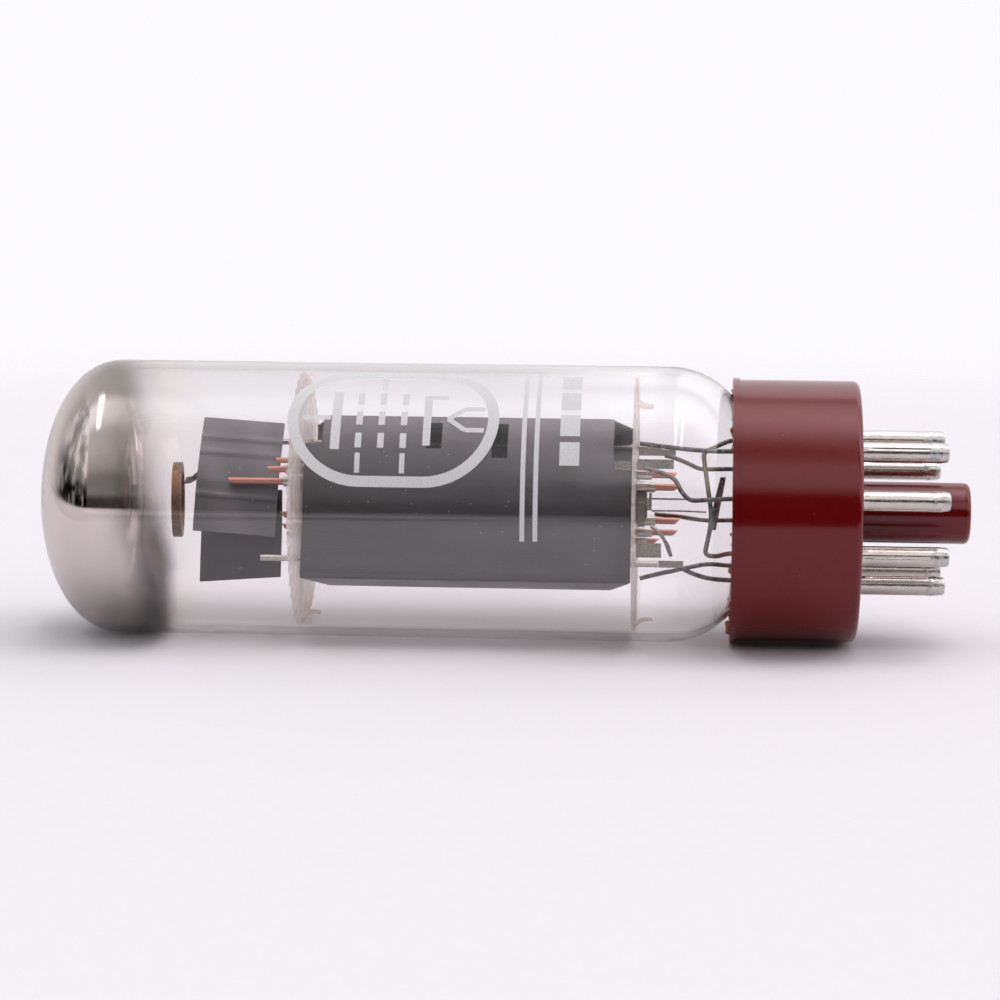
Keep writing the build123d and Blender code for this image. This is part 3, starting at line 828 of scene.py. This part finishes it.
# ---- anode
ANODE_START, ANODE_END = (corner.x for corner in node_box("anode_near_half"))
FLANGE_TIP = (-0.6, -10.35)
FOLD = (7.8, -9.1)
CREASE = (6.3, -2.5)
BARREL_BULGE = (5.22, 4.2)
BARREL_TOP = (1.6, 9.9)
WINDOW_TOP = 9.2
WINDOWS = ((-51.3, -49.5, 6.1), (-43.5, -41.6, 5.1))      # start, end, lower edge
NOTCHES = ((ANODE_START, -63.8, 6.5), (-29.0, ANODE_END, 5.0))
FLANGE_CHAMFER = 2.6
FAR_FLANGE_SET = 0.4            # the far flange's free edge is bent in this much
WELD_PLACES = (-63.6, -52.1, -42.3, -28.6)
WELD_UP = -7.35
WELD_RINGS = ((0.42, 0.26, 0.04), (0.16, 0.05, 0.03))     # outer and inner radius, height
WELD_SINK = 0.02                # the marks go this far into the sheet


def anode_keep(x, near, up):
    """False inside the windows and the end notches of an anode half."""
    if any(start < x < end and low < up < WINDOW_TOP for start, end, low in WINDOWS):
        return False
    return not any(start < x < end and up > low for start, end, low in NOTCHES)


def flange_trim(near, up):
    """The flange's ends are cut back towards its free edge."""
    on_flange = up < FOLD[1] - 0.05
    share = (FOLD[0] - near) / (FOLD[0] - FLANGE_TIP[0])
    return FLANGE_CHAMFER * share if on_flange else 0.0


def anode_shell(name, node, side, flange_set):
    """One half of the anode; side is 1 for the near half and -1 for the far one."""
    tip = (FLANGE_TIP[0], FLANGE_TIP[1] + flange_set)
    barrel = circle_through(CREASE, BARREL_BULGE, BARREL_TOP, 40)
    outline = fill_in([tip, FOLD], 0.9)[:-1] + corner_arc(tip, FOLD, CREASE, 0.6)
    outline += fill_in([outline[-1], CREASE], 0.6)[1:] + barrel[1:]
    levels = [WINDOW_TOP] + [low for _, _, low in WINDOWS + NOTCHES]
    sides = [x for start, end, _ in WINDOWS + NOTCHES for x in (start, end)]
    cuts = [x for x in sides if ANODE_START < x < ANODE_END]
    made = bent_sheet(
        name,
        cut_at(outline, levels),
        even_steps(ANODE_START, ANODE_END, 0.9, *cuts),
        lambda x, near, up: rolled(x, side * near, side * up),
        keep=anode_keep,
        trim=flange_trim,
    )
    piece(made, "carbonised_sheet", node)


def weld_marks():
    """Round spot-weld dents with a low rim, in a row along the near wing."""
    shape = bmesh.new()
    lean = (FOLD[0] - CREASE[0]) / (FOLD[1] - CREASE[1])
    near = CREASE[0] + lean * (WELD_UP - CREASE[1]) + SHEET / 2
    turns = [2 * math.pi * step / 24 for step in range(24)]
    for x in WELD_PLACES:
        for outer, inner, proud in WELD_RINGS:
            section = (
                (outer, -WELD_SINK), (outer * 0.86, proud), (inner, proud * 0.6), (inner, -WELD_SINK),
            )
            rows = []
            for radius, lift in section:
                ring = [(radius * math.cos(turn), radius * math.sin(turn)) for turn in turns]
                spots = [(x + along, near + lift + lean * up, WELD_UP + up) for along, up in ring]
                rows.append([shape.verts.new(rolled(*spot)) for spot in spots])
            for first, second in zip(rows, rows[1:] + rows[:1]):
                join_rings(shape, first, second)
    piece(finish_mesh("weld_marks", shape), "carbonised_sheet")


# ---- cooling fins
FIN_START, FIN_END = (corner.x for corner in node_box("cooling_fin_near"))
FIN_RIPPLES = (7.4, 5.6, 0.4)   # heights of the near fin's pressed ripples
RIPPLE_DEPTH, RIPPLE_WIDTH = 0.13, 0.28
WAVE_DEPTH = 0.06
FAR_FIN_TOP, FAR_FIN_FOOT = 1.0, -10.4
NEAR_FIN_DROP = 0.065           # how much the near fin goes down for each millimetre along the tube
FAR_FIN_LIFT = 0.75             # how much the far fin's lower edge is higher at the mica


def near_fin_place(x, near, up):
    ripple = sum(RIPPLE_DEPTH * math.exp(-(((up - place) / RIPPLE_WIDTH) ** 2)) for place in FIN_RIPPLES)
    wave = WAVE_DEPTH * math.sin((x - FIN_START) * 0.9 + up * 0.4)
    return rolled(x, near + ripple + wave, up - NEAR_FIN_DROP * (x - FIN_START))


def far_fin_place(x, near, up):
    share = (x - FIN_START) / (FIN_END - FIN_START)
    low = min(max((FAR_FIN_TOP - up) / (FAR_FIN_TOP - FAR_FIN_FOOT), 0.0), 1.0)
    return rolled(x, near + 0.05 * math.sin(x * 0.8), up + FAR_FIN_LIFT * share * low)


def cooling_fins():
    bow = circle_through((-4.0, 9.8), (-1.1, 5.6), (1.1, 2.0), 30)
    near_outline = bow + fill_in([(1.1, 2.0), (3.5, -4.0)], 0.25)[1:]
    far_outline = fill_in([(-2.7, FAR_FIN_TOP), (-3.0, -4.0), (-2.4, FAR_FIN_FOOT)], 0.5)
    stations = even_steps(FIN_START, FIN_END, 0.5)
    near_fin = bent_sheet("fin_near_sheet", near_outline, stations, near_fin_place)
    far_fin = bent_sheet("fin_far_sheet", far_outline, stations, far_fin_place)
    piece(near_fin, "carbonised_sheet", "cooling_fin_near")
    piece(far_fin, "carbonised_sheet", "cooling_fin_far")


# ---- getter ring and strap
RING_TURN = 6.2                 # degrees that the ring is turned about the vertical


def getter_channel():
    """Channel-section ring, open towards the dome, turned a little out of square."""
    low, high = node_box("getter_ring")
    radius, depth, wall = (high.z - low.z) / 2, 1.05, 0.18
    middle = (low + high) / 2
    inner = radius - depth
    profile = [
        (low.x, radius), (high.x, radius), (high.x, inner), (low.x, inner),
        (low.x, inner + wall), (high.x - wall, inner + wall), (high.x - wall, radius - wall),
        (low.x, radius - wall),
    ]
    turn = Matrix.Rotation(math.radians(RING_TURN), 3, "Z")
    made = lathe(
        "getter_channel", profile, y=middle.y, z=middle.z, segments=96, closed=True,
        change=lambda point: turn @ (point - middle) + middle,
    )
    piece(made, "getter_metal", "getter_ring")


def getter_support():
    """Twisted strap from the ring back to the top mica."""
    low, high = node_box("getter_strap")
    y = (low.y + high.y) / 2
    stations = (
        # x, z, the width there
        (-81.6, 1.9, (0.2, 0.3, 0.75)),
        (-80.9, 2.0, (0.15, 0.4, 0.75)),
        (-80.2, 2.5, (-0.1, 0.5, 0.7)),
        (-79.4, 3.3, (-0.2, 0.6, 0.5)),
        (-78.4, 3.9, (0, 0.7, 0.3)),
        (-74.0, 4.5, (0, 0.7, 0.1)),
        (high.x, high.z - 0.2, (0, 0.7, 0)),
    )
    route = [(x, y, z) for x, z, _ in stations]
    widths = [width for _, _, width in stations]
    piece(ribbon("getter_support", route, widths, 0.16), "oxidised_wire", "getter_strap")


# ---- grid rods, ribbon in the neck, mica spurs
GRID_TILT = 47.0
START_SLANT, END_SLANT = -0.7, 1.1      # how far a snipped end leans along X for each millimetre up
GRID_ENDS = (
    # name, offset, radius, near and far start, end
    ("control_grid", 2.75, 0.42, (-75.1, -69.2), -21.7),
    ("screen_grid", 4.7, 0.38, (-70.2, -69.2), -22.0),
    ("suppressor_grid", 6.15, 0.34, (-69.1, -68.9), -24.0),
)


def snipped_rods(name, offset, radius, starts, end):
    """A grid's two rods, with the slanted ends that the cutters left."""
    shape = bmesh.new()
    tilt = math.radians(GRID_TILT)
    for side, start in zip((1, -1), starts):
        middle = rolled(0, side * offset * math.cos(tilt), side * offset * math.sin(tilt))

        def slant(point):
            ends = ((start, START_SLANT), (end, END_SLANT))
            lean = sum(share for x, share in ends if abs(point.x - x) < 0.01)
            return Vector((point.x + lean * (point.z - middle.z), point.y, point.z))

        profile = [(start, 0.0), (start, radius * 0.9), (start + 0.6, radius)]
        profile += [(end - 0.6, radius), (end, radius * 0.9), (end, 0.0)]
        spin(shape, profile, y=middle.y, z=middle.z, segments=20, change=slant)
    piece(finish_mesh(f"{name}_snipped_rods", shape), "copper_rod", f"{name}_rods")


def neck_ribbon():
    """Flat ribbon welded across the jumper wire, its top leaning to the base."""
    y = node_box("jumper_ribbon")[0].y
    route = [(-16.3, y, 4.5), (-16.85, y, 1.85), (-17.5, y, -1.8)]
    made = ribbon("neck_ribbon", route, [(0.62, 0.1, 0), (0.8, 0.1, 0), (0.85, 0.1, 0.1)], 0.2)
    piece(made, "oxidised_wire", "jumper_ribbon")


MICA_RIM = 14.9
SPURS = (
    # start, degrees from the top towards the viewer, length, how far it curls in
    (-26.2, 31, 1.9, 1.0),
    (-26.2, 152, 2.1, 1.1),
    (-65.9, 150, 2.4, 1.2),
)


def mica_spurs():
    """Thin curls where the rims of the micas have split against the glass."""
    shape = bmesh.new()
    for start, angle, length, curl in SPURS:
        edges = []
        for step in range(9):
            share = step / 8
            radius = MICA_RIM - 0.6 * curl * math.sin(share * math.pi * 0.7)
            row = []
            for aside in (-0.55, 0.55):
                turn = math.radians(angle) + aside * (1 - 0.6 * share) / radius
                y, z = -radius * math.sin(turn), AXIS_Z + radius * math.cos(turn)
                row.append(shape.verts.new((start + length * share, y, z)))
            edges.append(row)
        fill_between(shape, edges)
    piece(thicken(finish_mesh("mica_spurs", shape), 0.3), "mica_sheet")


# ---- cement and pins
CEMENT_RECESS = 0.7             # the cement's face lies this far below the base's lip


def cement_ring():
    """Cement down in the gap between glass and base."""
    outer = BASE_MOUTH - 0.03
    face = BASE_LIP_X + CEMENT_RECESS
    profile = [(face, outer), (NECK_END - 0.1, outer)]
    profile += [(NECK_END - 0.1, 12.3), (-13.6, 12.0), (face + 0.05, 12.9)]       # along the glass
    made = lathe("cement_ring", profile, z=0.0, segments=120, closed=True)
    piece(made, "brown_cement", "base_cement")


def lump(shape, middle, size, seed):
    """A small uneven bead."""
    made = bmesh.ops.create_icosphere(shape, subdivisions=3, radius=1.0)
    for vertex in made["verts"]:
        swell = 1 + 0.5 * noise.noise(vertex.co * 1.3 + Vector((seed, 0, 0)))
        offset = [axis * swell * extent for axis, extent in zip(vertex.co, size)]
        vertex.co = Vector(offset) + Vector(middle)


BEAD_CIRCLE = BASE_MOUTH + 0.15
LARGE_BEADS = (     # degrees from the top away from the viewer, size
    (249, 0.34), (195, 0.32), (199, 0.46), (203, 0.5), (208, 0.3), (315, 0.22), (319, 0.36),
)


def cement_beads():
    """Cement that was squeezed out along the base's lip."""
    shape = bmesh.new()
    draw = random.Random(7)
    places = [(draw.uniform(0, 360), draw.uniform(0.08, 0.26)) for _ in range(16)]
    places += LARGE_BEADS
    for index, (angle, size) in enumerate(places):
        turn = math.radians(angle)
        radius = BEAD_CIRCLE + draw.uniform(-0.25, 0.35)
        middle = (BASE_LIP_X - size * 0.25, radius * math.sin(turn), radius * math.cos(turn))
        lump(shape, middle, (size * 0.8, size, size), index * 3.7)
    piece(finish_mesh("cement_beads", shape), "brown_cement")


PIN_ROOT = -1.0
PIN_FLARE = ((PIN_ROOT, 0.2), (0.06, 0.2), (0.2, 0.17), (0.32, 0.06), (0.45, 0.0))   # x, how much wider
PIN_TIP = ((0.5, 0.04), (0.1, 0.2), (0.0, 0.45))            # how far from the end, how much narrower


def pin_place(number):
    turn = math.radians(KEY_ANGLE + 360 / PIN_COUNT * (number - 0.5))
    return PIN_CIRCLE_RADIUS * math.sin(turn), PIN_CIRCLE_RADIUS * math.cos(turn)


def tubular_pin(number):
    """Rolled nickel pin with a flared root, a seam along it and a slightly drawn-in end."""
    y, z = pin_place(number)
    seam = math.radians(270 + 28 * (number * 3 % 5 - 2))

    def grooved(point):
        out = Vector((0, point.y - y, point.z - z))
        angle = math.atan2(out.y, out.z) - seam
        off = math.atan2(math.sin(angle), math.cos(angle))
        depth = 0.09 * math.exp(-((off / 0.07) ** 2)) if out.length > 0.5 and point.x > 0.5 else 0.0
        return point - out.normalized() * depth

    profile = [(PIN_ROOT, 0.0)]
    profile += [(x, PIN_RADIUS + flare) for x, flare in PIN_FLARE]
    profile += stretch((0.6, PIN_RADIUS), (PIN_END - 1.2, PIN_RADIUS), 10)
    profile += [(PIN_END - back, PIN_RADIUS - drawn) for back, drawn in PIN_TIP]
    profile.append((PIN_END, 0.0))
    made = lathe(f"tubular_pin_{number}", profile, y=y, z=z, segments=96, change=grooved)
    piece(made, "nickel_plate", f"pin_{number}")


def solder_coats():
    """Uneven tinned ends of the pins."""
    shape = bmesh.new()
    start = PIN_END - SOLDER_LENGTH
    for number in range(1, PIN_COUNT + 1):
        y, z = pin_place(number)

        def uneven(point):
            out = Vector((0, point.y - y, point.z - z))
            spot = Vector((point.x * 0.9, out.y * 0.9, out.z * 0.9)) + Vector((number * 5.1, 0, 0))
            at_start = point.x - start < 0.01
            slip = 0.7 * noise.noise(spot * 1.3) if at_start else 0.0
            return point + out * 0.05 * noise.noise(spot * 2.2) + Vector((slip, 0, 0))

        profile = [(start, PIN_RADIUS - 0.25), (start, PIN_RADIUS - 0.01)]
        profile += stretch((start + 0.4, PIN_RADIUS + 0.03), (PIN_END - 0.7, PIN_RADIUS - 0.02), 6)
        profile += [(PIN_END - 0.1, PIN_RADIUS - 0.08), (PIN_END + 0.15, PIN_RADIUS - 0.24)]
        profile += [(PIN_END + 0.26, 0.5), (PIN_END + 0.3, 0.0)]
        spin(shape, profile, y=y, z=z, segments=48, change=uneven)
        cap = [vertex for vertex in shape.verts if vertex.is_boundary]
        bmesh.ops.contextual_create(shape, geom=cap)
    piece(finish_mesh("solder_coats", shape), "solder", "solder_tips")


glass_envelope()
getter_film()
glass_print()
anode_shell("anode_near_shell", "anode_near_half", 1, 0.0)
anode_shell("anode_far_shell", "anode_far_half", -1, FAR_FLANGE_SET)
weld_marks()
cooling_fins()
getter_channel()
getter_support()
for grid in GRID_ENDS:
    snipped_rods(*grid)
neck_ribbon()
mica_spurs()
cement_ring()
cement_beads()
for pin_number in range(1, PIN_COUNT + 1):
    tubular_pin(pin_number)
solder_coats()


# ---- CAD nodes that keep their shape
for row in frame["record"]["subparts"]:
    if row["node"] in NODES:
        dress(NODES[row["node"]], row["material_slot"])


# ---- camera, floor and light
CAMERA_PLACE = (-19.6, -357.5, 50.8)
CAMERA_TARGET = (-42.7, 0.0, 0.75)
CAMERA_LENS = 108.25
CAMERA_ROLL = 0.4


def make_camera():
    data = bpy.data.cameras.new("camera")
    data.sensor_width = 36.0
    data.lens = CAMERA_LENS
    data.clip_start, data.clip_end = 0.01, 50.0
    camera = bpy.data.objects.new("camera", data)
    place, target = Vector(CAMERA_PLACE) * MM, Vector(CAMERA_TARGET) * MM
    camera.location = place
    camera.rotation_mode = "QUATERNION"
    aim = (target - place).to_track_quat("-Z", "Y")
    camera.rotation_quaternion = aim @ Quaternion((0, 0, 1), math.radians(CAMERA_ROLL))
    bpy.context.scene.collection.objects.link(camera)
    bpy.context.scene.camera = camera


FLOOR_REACH = 3000.0
FLOOR_MIDDLE = -42.0
FLOOR_FADE = (220.0, 420.0)       # the paper goes over into the backdrop between these distances
SHEET_EDGE = (-104.0, -90.0)      # a point of the bright sheet's front edge, as the reflections show it
SHEET_SLANT = -0.81


def floor_area(name, front, back, glossy):
    """One plain area of the floor, level with the bulb's lowest line, between two Y limits given by X."""
    shape = bmesh.new()
    left, right = -FLOOR_REACH, FLOOR_REACH
    corners = ((left, front(left)), (right, front(right)), (right, back(right)), (left, back(left)))
    shape.faces.new([shape.verts.new((x, y, FLOOR_Z - 0.01)) for x, y in corners])
    area = finish_mesh(name, shape, smooth=False)
    area.data.materials.append(FLOOR_PAPER)
    area.visible_glossy = glossy


def sheet_edge(x):
    return SHEET_EDGE[1] + SHEET_SLANT * (x - SHEET_EDGE[0])


# Brightness of the studio round the tube's axis, as degrees above the near horizontal and radiance:
# as the base sees it, and as the dome sees it further to the left.
STUDIO_RIGHT = (
    (-180, 0.90), (-60, 0.50), (-20, 0.30), (-5, 0.02), (21, 0.04), (27, 0.95), (34, 1.40), (48, 1.35),
    (55, 0.75), (62, 0.38), (68, 0.80), (77, 1.75), (86, 2.60), (95, 2.90), (106, 2.45), (113, 1.80),
    (119, 1.00), (123, 1.00), (129, 1.70), (145, 1.30), (162, 0.95), (180, 0.90),
)
STUDIO_LEFT = (
    (-180, 0.90), (-60, 0.50), (-20, 0.20), (-7.2, 0.05), (-6.7, 2.6), (-5.9, 2.6), (-5.4, 0.05), (4, 0.05),
    (10, 0.26), (24, 0.26), (34, 0.50), (50, 0.66), (64, 0.66), (72, 0.90), (80, 1.25), (96, 1.35),
    (103, 0.90), (108, 0.66), (145, 0.66), (172, 0.90), (180, 0.92),
)
STUDIO_PEAK = 2.9
BACKDROP = (0.97, 0.955, 1.0, 1.0)


# A lamp above the dome end, seen as one bright upright patch in the film, and a narrow light to the
# right, seen as a short line on the glass shoulder.
SOFTBOX = dict(left=-0.385, right=-0.24, edge=0.025, low=72, high=105, fade=0.02, radiance=2.6)
WINDOW = dict(left=0.10, right=0.18, edge=0.015, low=56, high=100, fade=0.0, radiance=5.0)


def share_of(degrees):
    """An angle round the axis as a share of the whole turn from -180 degrees."""
    return (degrees + 180) / 360


class Sky(Nodes):
    """The world's node tree."""

    def __init__(self):
        world = bpy.data.worlds.new("studio")
        bpy.context.scene.world = world
        world.use_nodes = True
        super().__init__(world.node_tree)
        self.direction = self.new("ShaderNodeTexCoord").outputs["Generated"]
        parts = self.new("ShaderNodeSeparateXYZ")
        self.link(self.direction, parts.inputs[0])
        self.x, self.y, self.z = parts.outputs

    def noise(self, scale, detail):
        step = self.new("ShaderNodeTexNoise")
        step.inputs["Scale"].default_value = scale
        step.inputs["Detail"].default_value = detail
        self.link(self.direction, step.inputs["Vector"])
        return step.outputs["Fac"]

    def around(self):
        """The direction's angle round the X axis, from 0 to 1 with the near horizontal in the middle."""
        angle = self.math("ARCTAN2", self.z, self.times(self.y, -1.0))
        return self.math("ADD", self.math("DIVIDE", angle, 2 * math.pi), 0.5)

    def strips(self, share, table):
        """Radiance from one of the tables above."""
        ramp = self.new("ShaderNodeValToRGB")
        self.link(share, ramp.inputs[0])
        stops = ramp.color_ramp.elements
        for index, (degrees, radiance) in enumerate(table):
            inside = 0 < index < len(table) - 1
            stop = stops.new(share_of(degrees)) if inside else stops[min(index, len(stops) - 1)]
            level = radiance / STUDIO_PEAK
            stop.color = (level, level, level, 1.0)
        return self.times(ramp.outputs[0], STUDIO_PEAK)

    def lamp(self, share, left, right, edge, low, high, fade, radiance):
        """A bright patch between two X directions and two angles round the axis, with soft edges."""
        wide = self.times(
            self.span(self.x, left, left + edge),
            self.span(self.x, right - edge, right, 1.0, 0.0),
        )
        lowest, highest = share_of(low), share_of(high)
        tall = self.times(
            self.span(share, lowest - fade, lowest + 0.01),
            self.span(share, highest, highest + 0.01, 1.0, 0.0),
        )
        return self.times(self.times(wide, tall), radiance)

    def room(self):
        """Patchy light and dark of the room beyond the dome end."""
        patches = self.span(self.noise(3.4, 3.0), 0.38, 0.64, 0.45, 1.5)
        dim = self.span(self.z, -0.10, 0.62, 0.16, 0.80)
        dark = self.times(self.span(self.noise(6.0, 4.0), 0.42, 0.50), self.span(self.z, 0.30, 0.12))
        lit = self.times(self.times(patches, dim), self.math("SUBTRACT", 1.0, dark))
        return self.times(lit, self.span(self.z, -0.13, -0.10))


def make_studio():
    """Strip lights and a room, with a plain backdrop for the camera, also through glass."""
    sky = Sky()
    share = sky.around()
    right = sky.math("ADD", sky.strips(share, STUDIO_RIGHT), sky.lamp(share, **WINDOW))
    left = sky.math("ADD", sky.strips(share, STUDIO_LEFT), sky.lamp(share, **SOFTBOX))
    strips = sky.lerp(sky.span(sky.x, -0.07, 0.0), left, right)
    aside = sky.span(sky.x, -0.62, -0.56, 1.0, 0.0)
    toward = sky.span(sky.y, 0.20, 0.75, 1.0, 0.0)
    radiance = sky.lerp(sky.times(aside, toward), strips, sky.room())
    lit = sky.new("ShaderNodeBackground")
    lit.inputs["Color"].default_value = (1.0, 0.975, 0.99, 1.0)
    sky.link(radiance, lit.inputs["Strength"])
    plain = sky.new("ShaderNodeBackground")
    plain.inputs["Color"].default_value = BACKDROP
    path = sky.new("ShaderNodeLightPath").outputs
    unreflected = sky.times(
        sky.math("LESS_THAN", path["Glossy Depth"], 0.5),
        sky.math("LESS_THAN", path["Diffuse Depth"], 0.5),
    )
    through_glass = sky.times(path["Is Transmission Ray"], unreflected)
    seen = sky.math("MAXIMUM", path["Is Camera Ray"], through_glass)
    mix = sky.new("ShaderNodeMixShader")
    sky.link(seen, mix.inputs[0])
    sky.link(lit.outputs[0], mix.inputs[1])
    sky.link(plain.outputs[0], mix.inputs[2])
    sky.link(mix.outputs[0], sky.new("ShaderNodeOutputWorld").inputs["Surface"])


make_camera()
FLOOR_PAPER = floor_paper()
floor_area("sheet", sheet_edge, lambda x: FLOOR_REACH, glossy=True)
floor_area("foreground", lambda x: -2 * FLOOR_REACH, sheet_edge, glossy=False)
make_studio()
bpy.context.scene.view_settings.view_transform = "Standard"
cycles = bpy.context.scene.cycles
cycles.transparent_max_bounces = 32         # light from the floor crosses many thin skins
cycles.caustics_refractive = False
cycles.caustics_reflective = False
